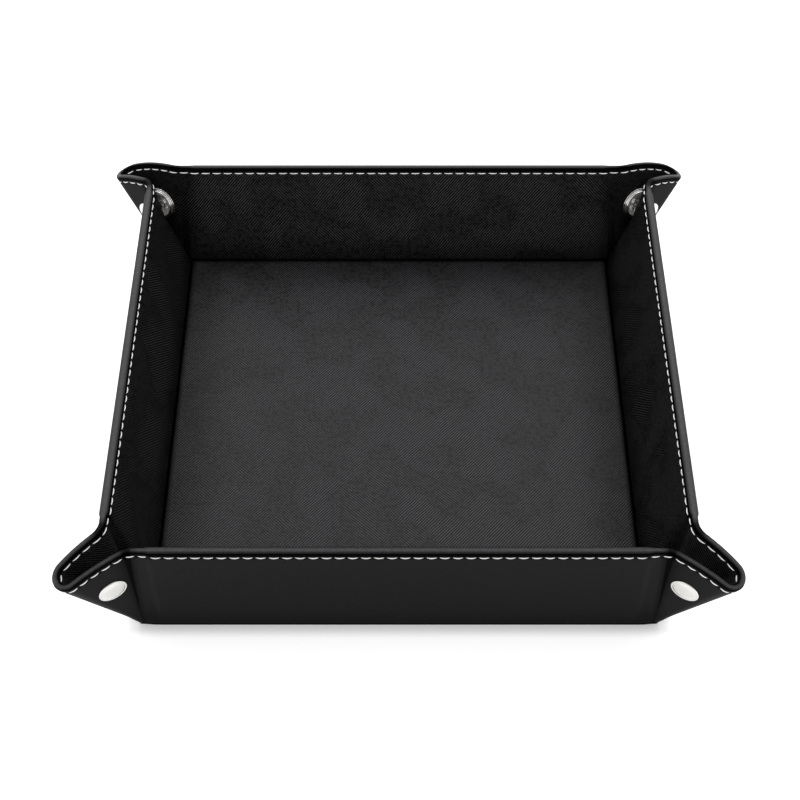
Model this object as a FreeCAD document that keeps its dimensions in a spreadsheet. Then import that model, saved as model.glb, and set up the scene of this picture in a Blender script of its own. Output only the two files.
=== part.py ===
import FreeCAD, Part
import math
import os
import Sketcher
from FreeCAD import Matrix, Placement, Rotation, Vector

# Snap-corner valet tray: a square sheet of faced board that folds up on four sides.
# Frame: +Z up, origin under the middle of the base, front wall towards -Y.

doc = FreeCAD.newDocument("ValetTray")
sheet = doc.addObject("Spreadsheet::Sheet", "Dims")

# Driving dimensions in millimetres and degrees
driving = {
    "base_width": 180.0,         # outer width of the square base
    "wall_slant": 48.5,          # hinge line to rim top, along the wall
    "wall_lean": 10.5,           # outward lean of each wall from upright
    "cover_thickness": 0.9,      # outer leather
    "board_thickness": 1.7,      # stiffening board between the leathers
    "lining_thickness": 0.9,     # inner leather
    "board_margin": 1.5,         # board edge to leather edge
    "board_end_margin": 6.0,     # end of a wall's board to the end of its leather
    "fold_clearance": 0.3,       # free gap at every fold line
    "floor_pad_thickness": 9.3,  # felt under the lining of the floor
    "floor_pad_margin": 3.2,     # edge of the base to the padded floor
    "wall_pad_low": 4.0,         # hinge line to the foot of a wall's felt wedge
    "wall_pad_drop": 2.75,       # its upper edge below the straight part of the wall
    "wall_pad_end": 5.2,         # end of a wall's leather to its padding
    "ear_heading": 36.0,         # plan angle of a pinched corner from the X axis
    "ear_rise": 60.5,            # elevation of the middle line of a pinched corner
    "ear_length": 48.3,          # base corner to the rim, along that middle line
    "ear_start": 2.5,            # base corner to the first free leather of an ear
    "crease_lap": 0.5,           # leather of an ear past its crease, towards the wall
    "tip_radius": 4.6,           # roll of the leather round the tip, mid layer, at the rim
    "roll_start": 11.0,          # base corner to the lower end of that roll
    "snap_reach": 10.4,          # snap centre out from the base corner, in plan
    "snap_height": 31.3,         # snap centre above the table
    "cap_diameter": 10.2,
    "cap_rim": 0.45,             # straight edge of a cap
    "cap_shoulder": 0.55,        # sloped edge above it
    "cap_slope": 1.3,            # how far that edge runs in
    "cap_crown": 0.3,            # low crown above the sloped edge
    "post_diameter": 2.8,        # rivet post of a cap
    "post_engagement": 0.45,     # post end set into the snap half
    "post_clearance": 0.05,
    "socket_diameter": 12.0,
    "socket_height": 1.9,
    "socket_lip": 0.5,           # bevelled edge of the socket ring
    "socket_flare": 0.8,         # how far the ring stands out past its seat on the leather
    "socket_bore": 4.8,
    "bore_depth": 1.2,
    "flange_diameter": 10.8,
    "flange_height": 0.8,
    "flange_lip": 0.35,          # bevelled edge of the stud flange
    "ball_diameter": 3.2,        # bevelled head of the stud
    "ball_entry": 0.3,           # its middle past the middle of the pinch, into the socket
    "neck_diameter": 2.2,
}

for row, (alias, number) in enumerate(driving.items(), start=1):
    sheet.set("A%d" % row, alias)
    sheet.set("B%d" % row, str(number))
    sheet.setAlias("B%d" % row, alias)
doc.recompute()


def size(alias):
    return float(sheet.get(alias))


cover = size("cover_thickness")
lining = size("lining_thickness")
clearance = size("fold_clearance")
stack = cover + size("board_thickness") + lining
hinge_offset = size("base_width") / 2 - stack / 2
hinge_height = stack / 2
lean = math.radians(size("wall_lean"))
edge_radius = max(cover, lining)
roll_edge = (cover + lining) / 2

stack_text = "(Dims.cover_thickness + Dims.board_thickness + Dims.lining_thickness)"
base_half_text = "(Dims.base_width / 2 - %s - Dims.fold_clearance)" % stack_text
wall_length_text = "(2 * %s)" % base_half_text
rim_text = "(Dims.wall_slant - %s / 2)" % stack_text
floor_half_text = "(%s - Dims.floor_pad_margin)" % base_half_text

sub_parts = []


def keep(node, label):
    node.Label = label
    sub_parts.append(node)
    return node


# Bodies drawn as constrained profiles


def origin_plane(body, role):
    for feature in body.Origin.OriginFeatures:
        if feature.Role == role:
            return feature
    raise ValueError(role)


def arc_between(start, end, center, turn):
    # Arc of a circle, counter-clockwise for turn 1 and clockwise for turn -1
    first, last = (start, end) if turn > 0 else (end, start)
    first_angle = math.atan2(first.y - center.y, first.x - center.x)
    last_angle = math.atan2(last.y - center.y, last.x - center.x)
    circle = Part.Circle(center, Vector(0, 0, 1), first.distanceToPoint(center))
    return Part.ArcOfCircle(circle, first_angle, last_angle)


def draw_profile(sketch, corners, arcs):
    # corners are pairs of sheet formulas; arcs maps a corner's number to the turn of the
    # edge that starts there, the formulas of its centre, and the axis that pins the centre
    def point(formulas):
        return Vector(*[float(sketch.evalExpression(text)) for text in formulas], 0)

    def pin(curve, end, kind, formula):
        distance = float(sketch.evalExpression(formula))
        number = sketch.addConstraint(Sketcher.Constraint(kind, -1, 1, curve, end, distance))
        sketch.setExpression("Constraints[%d]" % number, formula)

    count = len(corners)
    places = [point(pair) for pair in corners]
    starts, ends = [], []
    for index in range(count):
        here, there = places[index], places[(index + 1) % count]
        if index in arcs:
            turn, center, axis = arcs[index]
            curve = arc_between(here, there, point(center), turn)
            starts.append(1 if turn > 0 else 2)
            ends.append(2 if turn > 0 else 1)
        else:
            curve = Part.LineSegment(here, there)
            starts.append(1)
            ends.append(2)
        sketch.addGeometry(curve, False)
    for index in range(count):
        following = (index + 1) % count
        sketch.addConstraint(
            Sketcher.Constraint("Coincident", index, ends[index], following, starts[following])
        )
    for index, (across, up) in enumerate(corners):
        pin(index, starts[index], "DistanceX", across)
        pin(index, starts[index], "DistanceY", up)
    for index, (turn, center, axis) in arcs.items():
        if axis == "across":
            pin(index, 3, "DistanceX", center[0])
        else:
            pin(index, 3, "DistanceY", center[1])


def add_profile(body, name, role, corners, arcs):
    sketch = body.newObject("Sketcher::SketchObject", name + "_profile")
    sketch.AttachmentSupport = [(origin_plane(body, role), "")]
    sketch.MapMode = "FlatFace"
    draw_profile(sketch, corners, arcs)
    return sketch


def extrude(body, kind, name, sketch, length_text, symmetric):
    feature = body.newObject("PartDesign::" + kind, name)
    feature.Profile = sketch
    feature.SideType = "Symmetric" if symmetric else "One side"
    feature.setExpression("Length", length_text)
    return feature


def padded_body(name, role, corners, arcs, length_text, symmetric):
    body = doc.addObject("PartDesign::Body", name)
    sketch = add_profile(body, name, role, corners, arcs)
    extrude(body, "Pad", name + "_pad", sketch, length_text, symmetric)
    return body


def raise_over(body, role, outside, outside_length, hollow, hollow_length, symmetric):
    # Lifts a flat lining over a felt pad: the outside is added and the pad's room is cut
    sketch = add_profile(body, body.Name + "_raised", role, outside, {})
    extrude(body, "Pad", body.Name + "_raise", sketch, outside_length, symmetric)
    sketch = add_profile(body, body.Name + "_hollow", role, hollow, {})
    room = extrude(body, "Pocket", body.Name + "_room", sketch, hollow_length, symmetric)
    room.Reversed = not symmetric


def turned_body(name, corners):
    body = doc.addObject("PartDesign::Body", name)
    sketch = add_profile(body, name, "XZ_Plane", corners, {})
    turn = body.newObject("PartDesign::Revolution", name + "_turn")
    turn.Profile = sketch
    turn.ReferenceAxis = (sketch, ["V_Axis"])
    turn.Angle = 360
    return body


def rectangle(left, low, right, high):
    return [(left, low), (right, low), (right, high), (left, high)]


def square(half_text):
    return rectangle("-" + half_text, "-" + half_text, half_text, half_text)


# Base: outer leather, board, felt and a lining that covers the felt on top and round its sides


def base_layer(label, half_text, low_text, height_text):
    body = padded_body(label, "XY_Plane", square(half_text), {}, height_text, False)
    body.setExpression(".Placement.Base.z", low_text)
    return keep(body, label)


base_layer("base_cover", base_half_text, "0", "Dims.cover_thickness")
base_layer(
    "base_board",
    "(%s - Dims.board_margin)" % base_half_text,
    "Dims.cover_thickness",
    "Dims.board_thickness",
)
board_top_text = "Dims.cover_thickness + Dims.board_thickness"
felt_half_text = "(%s - Dims.lining_thickness)" % floor_half_text
base_layer("base_pad", felt_half_text, board_top_text, "Dims.floor_pad_thickness")
base_lining = base_layer("base_lining", base_half_text, board_top_text, "Dims.lining_thickness")
raise_over(
    base_lining,
    "XY_Plane",
    square(floor_half_text),
    "Dims.floor_pad_thickness + Dims.lining_thickness",
    square(felt_half_text),
    "Dims.floor_pad_thickness",
    False,
)

# Walls: each stands on its hinge line, outer face towards -Y before it is turned into place


def wall_placement(azimuth):
    tilt = Rotation(Vector(1, 0, 0), size("wall_lean"))
    turn = Rotation(Vector(0, 0, 1), azimuth)
    return Placement(turn.multVec(Vector(0, -hinge_offset, hinge_height)), turn.multiply(tilt))


# The upper edge of the padded floor in a wall's own frame, across the wall and up it; the
# padding of a wall swells inwards until it just clears that edge
edge_rise_text = "(%s / 2 + Dims.floor_pad_thickness)" % stack_text
edge_inset_text = "(Dims.base_width / 2 - %s / 2 - %s)" % (stack_text, floor_half_text)
lean_terms = (edge_rise_text, edge_inset_text)
edge_across_text = "(%s * sin(Dims.wall_lean * 1 deg) + %s * cos(Dims.wall_lean * 1 deg))" % lean_terms
edge_up_text = "(%s * cos(Dims.wall_lean * 1 deg) - %s * sin(Dims.wall_lean * 1 deg))" % lean_terms


def wall(side, azimuth):
    outer = "(-%s / 2)" % stack_text
    inner = "(%s / 2)" % stack_text
    cover_in = "(Dims.cover_thickness - %s / 2)" % stack_text
    board_in = "(%s / 2 - Dims.lining_thickness)" % stack_text
    margin_low = "Dims.board_margin"
    margin_high = "(%s - Dims.board_margin)" % rim_text

    # The outer leather runs round the fold at the foot and over the rim
    corners = [
        (outer, "0"), (outer, rim_text), (inner, rim_text),
        (cover_in, rim_text), (cover_in, "0"), (inner, "0"),
    ]
    arcs = {1: (-1, ("0", rim_text), "up"), 5: (-1, ("0", "0"), "up")}
    skin = padded_body(side + "_wall_cover", "YZ_Plane", corners, arcs, wall_length_text, True)

    corners = rectangle(cover_in, margin_low, board_in, margin_high)
    board_length = "%s - 2 * Dims.board_end_margin" % wall_length_text
    board = padded_body(side + "_wall_board", "YZ_Plane", corners, {}, board_length, True)

    corners = rectangle(board_in, "0", inner, rim_text)
    inside = padded_body(side + "_wall_lining", "YZ_Plane", corners, {}, wall_length_text, True)

    # A felt wedge on the board, full at the foot and thin at the rim, under the lining
    fullness = "(%s - Dims.fold_clearance - %s)" % (edge_across_text, inner)
    peak = "(%s + Dims.fold_clearance)" % edge_up_text
    low = "Dims.wall_pad_low"
    high = "(%s - Dims.wall_pad_drop)" % rim_text
    outside = [(inner, low), ("(%s + %s)" % (inner, fullness), peak), (inner, high)]
    hollow = [(board_in, low), ("(%s + %s)" % (board_in, fullness), peak), (board_in, high)]
    outside_length = "(%s - 2 * Dims.wall_pad_end)" % wall_length_text
    hollow_length = "(%s - 2 * Dims.lining_thickness)" % outside_length
    raise_over(inside, "YZ_Plane", outside, outside_length, hollow, hollow_length, True)
    wedge = padded_body(side + "_wall_pad", "YZ_Plane", hollow, {}, hollow_length, True)

    for piece, name in ((skin, "cover"), (board, "board"), (wedge, "pad"), (inside, "lining")):
        piece.Placement = wall_placement(azimuth)
        keep(piece, "%s_wall_%s" % (side, name))


for side, azimuth in (("front", 0), ("right", 90), ("back", 180), ("left", 270)):
    wall(side, azimuth)

# Pinched corners. The leather between two walls is drawn out to a rounded tip: two flat
# ear halves, each hinged on its wall, and a roll round the tip that is parted in the middle.
# All of it converges on the base corner where the two hinge lines meet. The directions
# below belong to the front left corner; the other three mirror it.


class EarHalf:
    def __init__(self, crease, side_sign):
        # crease is the wall's end line; side_sign is 1 for the front wall's half
        self.crease = crease
        across = tip_across * side_sign
        along = math.cos(cone) * across.dot(crease)
        outward = math.cos(cone) * tip_outward.dot(crease)
        inside = math.sin(cone) * tip_axis.dot(crease)
        # Angle round the roll at which a flat ear from the crease touches it
        self.start = math.atan2(outward, along) + math.acos(inside / math.hypot(along, outward))
        self.across = across
        ring = across * math.cos(self.start) + tip_outward * math.sin(self.start)
        self.normal = ring * math.cos(cone) - tip_axis * math.sin(cone)
        self.roll_line = tip_axis * math.cos(cone) + ring * math.sin(cone)
        self.toward_roll = (self.roll_line - crease * crease.dot(self.roll_line)).normalize()
        self.spread = crease.getAngle(self.roll_line)


heading = math.radians(size("ear_heading"))
rise = math.radians(size("ear_rise"))
corner_point = Vector(-hinge_offset, -hinge_offset, hinge_height)
ear_plan = Vector(-math.cos(heading), -math.sin(heading), 0)
tip_axis = ear_plan * math.cos(rise) + Vector(0, 0, math.sin(rise))
tip_across = Vector(math.sin(heading), -math.cos(heading), 0)
tip_outward = ear_plan * math.sin(rise) - Vector(0, 0, math.cos(rise))
cone = math.atan2(size("tip_radius"), size("ear_length"))
halves = {
    "end": EarHalf(Vector(0, -math.sin(lean), math.cos(lean)), 1),
    "side": EarHalf(Vector(-math.sin(lean), 0, math.cos(lean)), -1),
}
snap_center = (
    corner_point + ear_plan * size("snap_reach")
    + Vector(0, 0, size("snap_height") - hinge_height)
)


def beyond(point, direction):
    # Everything past a plane, for trimming leather back to it
    reach = 2 * size("wall_slant")
    block = Part.makeBox(2 * reach, 2 * reach, reach, Vector(-reach, -reach, 0))
    return block.transformed(Placement(point, Rotation(Vector(0, 0, 1), direction)).toMatrix())


def beyond_middle(half):
    # Past the middle plane of the pinch, less half of the parting gap
    return beyond(corner_point + half.across * (clearance / 2), half.across * -1)


def beyond_butt(half):
    # Past the plane on which the two rolls butt together when the tray lies flat: it holds
    # the line of the tip and stands square to the chord of the roll
    tip_line = tip_axis * math.cos(cone) + tip_outward * math.sin(cone)
    direction = (tip_line * tip_line.dot(half.roll_line) - half.roll_line).normalize()
    return beyond(corner_point - direction * (clearance / 2), direction)


def half_frame(half):
    # X along the crease, Y towards the roll, Z out of the leather
    return Matrix(
        half.crease.x, half.toward_roll.x, half.normal.x, corner_point.x,
        half.crease.y, half.toward_roll.y, half.normal.y, corner_point.y,
        half.crease.z, half.toward_roll.z, half.normal.z, corner_point.z,
        0, 0, 0, 1,
    )


def snap_foot(half):
    # Where the snap's axis meets the mid layer of this half, and its depth below it
    depth = -(snap_center - corner_point).dot(half.normal)
    return snap_center + half.normal * depth, depth


def ear_layer(half, low, high):
    # A flat fan of leather between the crease and the roll, with a rounded crease edge
    frame = half_frame(half)
    direction = Vector(math.cos(half.spread), math.sin(half.spread), 0)
    inset = Vector(math.sin(half.spread), -math.cos(half.spread), 0) * (roll_edge + clearance)
    rim_reach = size("ear_length") / math.cos(cone)
    lap = -size("crease_lap")
    first = Vector(size("ear_start"), lap, 0)
    crease_top = Vector(size("wall_slant"), lap, 0)
    roll_top = direction * rim_reach + inset
    roll_low = direction * (first.x + (roll_edge + clearance) / math.tan(half.spread)) + inset
    middle_reach = (size("wall_slant") + rim_reach) / 2
    middle = Vector(math.cos(half.spread / 2), math.sin(half.spread / 2), 0) * middle_reach
    outline = Part.Wire([
        Part.makeLine(first, crease_top),
        Part.Arc(crease_top, middle, roll_top).toShape(),
        Part.makeLine(roll_top, roll_low),
        Part.makeLine(roll_low, first),
    ])
    outline.translate(Vector(0, 0, min(low, high)))
    fan = Part.Face(outline).extrude(Vector(0, 0, abs(high - low)))
    edge = Part.makeCylinder(
        abs(high - low), crease_top.x - first.x, first, Vector(1, 0, 0)
    )
    span = 2 * edge_radius
    quarter = Part.makeBox(
        crease_top.x, span, span, Vector(0, lap - span, 0 if high > low else -span)
    )
    solid = fan.fuse(edge.common(quarter)).removeSplitter()
    solid = solid.transformed(frame).cut(beyond_middle(half))
    foot, depth = snap_foot(half)
    hole = Part.makeCylinder(
        size("post_diameter") / 2 + size("post_clearance"),
        4 * (cover + lining),
        foot - half.normal * (2 * (cover + lining)),
        half.normal,
    )
    return solid.cut(hole).Solids[0]


def roll_outside():
    # The outer face of the roll, as a solid cone on the tip axis
    low, high = size("roll_start"), size("ear_length")
    radii = [distance * math.tan(cone) + cover for distance in (low, high)]
    return Part.makeCone(*radii, high - low, corner_point + tip_axis * low, tip_axis)


def roll_hollow():
    # The room inside the roll: a cone from the point where the lining closes up on itself
    low, high = lining / math.tan(cone), size("ear_length")
    radius = high * math.tan(cone) - lining
    return Part.makeCone(0, radius, high - low, corner_point + tip_axis * low, tip_axis)


def before_start(half):
    # The part of the roll's ring that lies on the ear's side of their common line
    backward = half.across * math.sin(half.start) - tip_outward * math.cos(half.start)
    return beyond(corner_point, backward)


def roll_solid(half):
    ring = roll_outside().cut(roll_hollow())
    shell = ring.cut(before_start(half)).cut(beyond_middle(half))
    line_start, line_end = [size(name) / math.cos(cone) for name in ("roll_start", "ear_length")]
    middle = corner_point + half.normal * ((cover - lining) / 2)
    edge = Part.makeCylinder(
        roll_edge, line_end - line_start, middle + half.roll_line * line_start, half.roll_line
    )
    roll = shell.fuse(edge).removeSplitter()
    return roll.cut(beyond_butt(half)).Solids[0]


def mirrored(shape, flip_x, flip_y):
    if flip_x:
        shape = shape.mirror(Vector(0, 0, 0), Vector(1, 0, 0))
    if flip_y:
        shape = shape.mirror(Vector(0, 0, 0), Vector(0, 1, 0))
    return shape


def leather_piece(label, shape):
    piece = doc.addObject("Part::Feature", label)
    piece.Shape = shape
    piece.Placement = Placement()
    keep(piece, label)


leather_shapes = {}
for half_name, half in halves.items():
    leather_shapes[half_name + "_ear_cover"] = ear_layer(half, 0, cover)
    leather_shapes[half_name + "_ear_lining"] = ear_layer(half, 0, -lining)
    leather_shapes[half_name + "_roll"] = roll_solid(half)

corners = {
    "front_left": (False, False),
    "front_right": (True, False),
    "back_left": (False, True),
    "back_right": (True, True),
}
for corner, (flip_x, flip_y) in corners.items():
    for name, shape in leather_shapes.items():
        leather_piece("%s_%s" % (corner, name), mirrored(shape, flip_x, flip_y))

# Snaps: two riveted caps, a socket on the end ear and a ball stud on the side ear.
# Each piece is turned about its own axis, with zero height on the leather's mid layer.


def cap(label):
    seat = "Dims.cover_thickness"
    tail = "-(Dims.lining_thickness + Dims.post_engagement)"
    edge_top = "(Dims.cover_thickness + Dims.cap_rim)"
    slope_top = "(%s + Dims.cap_shoulder)" % edge_top
    crown = "(%s + Dims.cap_crown)" % slope_top
    post = "Dims.post_diameter / 2"
    edge = "Dims.cap_diameter / 2"
    profile = [
        ("0", tail), (post, tail), (post, seat), (edge, seat), (edge, edge_top),
        ("(%s - Dims.cap_slope)" % edge, slope_top), ("0", crown),
    ]
    return turned_body(label, profile)


recess_text = "(Dims.post_engagement + Dims.post_clearance)"
recess_radius_text = "(Dims.post_diameter / 2 + Dims.post_clearance)"


def socket(label):
    seat = "-Dims.lining_thickness"
    face = "(-Dims.lining_thickness - Dims.socket_height)"
    floor = "-(Dims.lining_thickness + %s)" % recess_text
    edge = "Dims.socket_diameter / 2"
    lip = "(%s + Dims.socket_lip)" % face
    turn = "(%s - Dims.socket_lip)" % edge
    bore = "Dims.socket_bore / 2"
    top = "(%s + Dims.bore_depth)" % face
    shoulder = "(%s - Dims.socket_flare)" % seat
    foot = "(%s - Dims.socket_flare)" % edge
    profile = [
        ("0", floor), ("0", top), (bore, top), (bore, face), (turn, face), (edge, lip),
        (edge, shoulder), (foot, seat), (recess_radius_text, seat), (recess_radius_text, floor),
    ]
    return turned_body(label, profile)


def stud(label):
    seat = "-Dims.lining_thickness"
    face = "(-Dims.lining_thickness - Dims.flange_height)"
    floor = "-(Dims.lining_thickness + %s)" % recess_text
    edge = "Dims.flange_diameter / 2"
    lip = "(%s + Dims.flange_lip)" % face
    turn = "(%s - Dims.flange_lip)" % edge
    neck = "Dims.neck_diameter / 2"
    head = "Dims.ball_diameter / 2"
    slope = "(%s - %s)" % (head, neck)
    middle = "-(Dims.pinch_depth + Dims.ball_entry)"
    upper = "(%s + %s / 2)" % (middle, slope)
    lower = "(%s - %s / 2)" % (middle, slope)
    profile = [
        ("0", floor), ("0", "(%s - %s)" % (lower, slope)), (neck, "(%s - %s)" % (lower, slope)),
        (head, lower), (head, upper), (neck, "(%s + %s)" % (upper, slope)),
        (neck, face), (turn, face), (edge, lip), (edge, seat),
        (recess_radius_text, seat), (recess_radius_text, floor),
    ]
    return turned_body(label, profile)


# The pinch fixes how far the stud has to reach, so that length follows from the corner
last_row = len(driving) + 1
sheet.set("A%d" % last_row, "pinch_depth")
sheet.set("B%d" % last_row, str(snap_foot(halves["side"])[1]))
sheet.setAlias("B%d" % last_row, "pinch_depth")
doc.recompute()


def snap_placement(half, flip_x, flip_y):
    signs = Vector(-1 if flip_x else 1, -1 if flip_y else 1, 1)
    foot, depth = snap_foot(half)
    place = Vector(foot.x * signs.x, foot.y * signs.y, foot.z)
    axis = Vector(half.normal.x * signs.x, half.normal.y * signs.y, half.normal.z)
    return Placement(place, Rotation(Vector(0, 0, 1), axis))


snap_pieces = {
    "snap_end_cap": (cap, "end"),
    "snap_socket": (socket, "end"),
    "snap_stud": (stud, "side"),
    "snap_side_cap": (cap, "side"),
}
for corner, (flip_x, flip_y) in corners.items():
    for name, (maker, half_name) in snap_pieces.items():
        label = "%s_%s" % (corner, name)
        piece = maker(label)
        piece.Placement = snap_placement(halves[half_name], flip_x, flip_y)
        keep(piece, label)

doc.recompute()

# Nothing is written unless every object is sound
for item in doc.Objects:
    if "Invalid" in item.State or "Error" in item.State:
        raise RuntimeError("failed: %s %s" % (item.Label, item.State))
for piece in sub_parts:
    if piece.Shape.isNull() or not piece.Shape.isValid():
        raise RuntimeError("bad shape: %s" % piece.Label)

os.makedirs("parts", exist_ok=True)
for piece in sub_parts:
    piece.Shape.exportStep("parts/%s.step" % piece.Label)
print("wrote %d sub-parts" % len(sub_parts))
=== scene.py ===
import bmesh
import bpy
import math
from mathutils import Matrix, Quaternion, Vector, noise


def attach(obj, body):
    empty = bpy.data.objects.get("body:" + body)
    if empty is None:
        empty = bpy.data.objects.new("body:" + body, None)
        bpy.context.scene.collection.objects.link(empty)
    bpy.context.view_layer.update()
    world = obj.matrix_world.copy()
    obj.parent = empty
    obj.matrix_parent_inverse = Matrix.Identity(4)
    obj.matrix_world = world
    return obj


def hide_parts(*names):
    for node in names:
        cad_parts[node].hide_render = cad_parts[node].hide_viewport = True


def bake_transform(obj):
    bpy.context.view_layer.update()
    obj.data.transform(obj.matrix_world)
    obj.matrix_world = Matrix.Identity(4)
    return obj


# Snap-corner valet tray: leather skins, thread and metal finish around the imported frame, in metres
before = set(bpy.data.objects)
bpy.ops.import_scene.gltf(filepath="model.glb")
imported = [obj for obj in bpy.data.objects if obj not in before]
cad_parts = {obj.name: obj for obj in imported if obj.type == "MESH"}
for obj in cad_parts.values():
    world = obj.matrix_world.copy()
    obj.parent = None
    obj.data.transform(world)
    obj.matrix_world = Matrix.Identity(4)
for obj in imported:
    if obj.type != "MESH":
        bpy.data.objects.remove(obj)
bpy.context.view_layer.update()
print("frame loaded:", len(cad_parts), "nodes")

# Sizes shared by every leather piece
sheet = dict(
    hingeOut=0.08825,       # hinge line from the middle of the tray
    hingeUp=0.00175,        # hinge line above the table
    slant=0.0488,           # hinge line to rim top, along the wall
    lean=math.radians(10.5),
    wallHalf=0.00175,       # half thickness where there is board inside
    earHalf=0.0012,         # half thickness where there are only the two leathers
    coverCorner=0.0016,     # half thickness of the cover at the very base corner
    liningCorner=0.0003,    # and of the lining there
    boardEnd=(0.0054, 0.0078),   # where the board stops, from the base corner along a wall
    cornerRun=0.006,        # how far the thinning at a base corner reaches along the fold
    cornerRise=0.010,       # and up the wall
)


def smooth(value, low=0.0, high=1.0):
    t = min(1.0, max(0.0, (value - low) / (high - low)))
    return t * t * (3 - 2 * t)


def mix(a, b, share):
    return a + (b - a) * share


def halfThickness(fromCorner, height, side):
    # Boarded wall, then bare leather near the corner, then the fold at the base corner
    high = mix(sheet["earHalf"], sheet["wallHalf"], smooth(fromCorner, *sheet["boardEnd"]))
    corner = sheet["coverCorner"] if side > 0 else sheet["liningCorner"]
    foot = mix(corner, sheet["wallHalf"], smooth(fromCorner, 0.0, sheet["cornerRun"]))
    return mix(foot, high, smooth(height, 0.0, sheet["cornerRise"]))


# Geometry of a pinched corner, worked out for the front left one and mirrored to the others
pinch = dict(
    heading=math.radians(36.0),   # plan angle of the tip from the X axis
    rise=math.radians(60.5),      # elevation of the middle line of the pinch
    length=0.0483,                # base corner to rim along that line
    tipRadius=0.0046,             # roll of the leather round the tip, at the rim
    bendRadius=0.0068,            # soft bend from wall into ear, at the rim
    bendSteps=14,
    earSteps=14,
    rollSteps=12,
)
apex = Vector((-sheet["hingeOut"], -sheet["hingeOut"], sheet["hingeUp"]))
coneAngle = math.atan2(pinch["tipRadius"], pinch["length"])
plan = Vector((-math.cos(pinch["heading"]), -math.sin(pinch["heading"]), 0))
tipAxis = plan * math.cos(pinch["rise"]) + Vector((0, 0, math.sin(pinch["rise"])))
tipAcross = Vector((math.sin(pinch["heading"]), -math.cos(pinch["heading"]), 0))
tipOut = plan * math.sin(pinch["rise"]) - Vector((0, 0, math.cos(pinch["rise"])))


class EarHalf:
    # Rays from the base corner: each has a direction, an outward normal and its angle in the flat leather

    def __init__(self, crease, wallNormal, acrossSign):
        self.crease, self.wallNormal = crease, wallNormal
        across = tipAcross * acrossSign
        along = math.cos(coneAngle) * across.dot(crease)
        outward = math.cos(coneAngle) * tipOut.dot(crease)
        inside = math.sin(coneAngle) * tipAxis.dot(crease)
        start = math.atan2(outward, along) + math.acos(inside / math.hypot(along, outward))
        self.normal, self.rollLine = self.onRoll(across, start)
        self.towardRoll = (self.rollLine - crease * crease.dot(self.rollLine)).normalized()

        # Soft bend: a cone that touches both the wall and the ear
        bend = math.atan2(pinch["bendRadius"], sheet["slant"])
        lift = math.sin(bend) / (1 + wallNormal.dot(self.normal))
        both = wallNormal + self.normal
        center = both * lift + crease * math.sqrt(1 - (lift * both.length) ** 2)
        wallLine = (center - wallNormal * math.sin(bend)) / math.cos(bend)
        earLine = (center - self.normal * math.sin(bend)) / math.cos(bend)
        self.opening = wallLine.angle(crease)
        spoke = wallLine - center * math.cos(bend)
        turn = spoke.angle(earLine - center * math.cos(bend))
        if center.dot(spoke.cross(earLine)) < 0:
            turn = -turn

        angle = -self.opening
        self.earRays, self.rollRays = [], []
        for step in range(pinch["bendSteps"] + 1):
            share = step / pinch["bendSteps"]
            line = center * math.cos(bend) + Quaternion(center, turn * share) @ spoke
            face = (center - line * math.cos(bend)) / math.sin(bend)
            self.earRays.append((line, face, angle + share * abs(turn) * math.sin(bend)))
        angle += abs(turn) * math.sin(bend)
        spread = earLine.angle(self.rollLine)
        for step in range(1, pinch["earSteps"] + 1):
            share = step / pinch["earSteps"]
            line = earLine * math.sin((1 - share) * spread) + self.rollLine * math.sin(share * spread)
            self.earRays.append((line.normalized(), self.normal, angle + share * spread))
        angle += spread
        self.rollAngle = angle
        for step in range(pinch["rollSteps"] + 1):
            share = step / pinch["rollSteps"]
            face, line = self.onRoll(across, mix(start, math.pi / 2, share))
            arc = share * (math.pi / 2 - start) * math.sin(coneAngle)
            self.rollRays.append((line, face, angle + arc))

    def onRoll(self, across, angle):
        ring = across * math.cos(angle) + tipOut * math.sin(angle)
        normal = ring * math.cos(coneAngle) - tipAxis * math.sin(coneAngle)
        return normal, tipAxis * math.cos(coneAngle) + ring * math.sin(coneAngle)

    def rimReach(self, angle):
        # The rim leaves the wall's straight top and curves in to the tip
        first = sheet["slant"] / math.cos(self.opening)
        slope = -first * math.tan(self.opening)
        last = pinch["length"] / math.cos(coneAngle)
        span = self.rollAngle + self.opening
        t = min(1.0, (angle + self.opening) / span)
        start = (2 * t ** 3 - 3 * t ** 2 + 1) * first + (t ** 3 - 2 * t ** 2 + t) * slope * span
        return start + (3 * t ** 2 - 2 * t ** 3) * last


sinLean, cosLean = math.sin(sheet["lean"]), math.cos(sheet["lean"])
halves = {
    "end": EarHalf(Vector((0, -sinLean, cosLean)), Vector((0, -cosLean, -sinLean)), 1),
    "side": EarHalf(Vector((-sinLean, 0, cosLean)), Vector((-cosLean, 0, -sinLean)), -1),
}
corners = {"front_left": (1, 1), "front_right": (-1, 1), "back_left": (1, -1), "back_right": (-1, -1)}
print("corner bends:", {name: round(math.degrees(half.opening), 2) for name, half in halves.items()})

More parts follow.
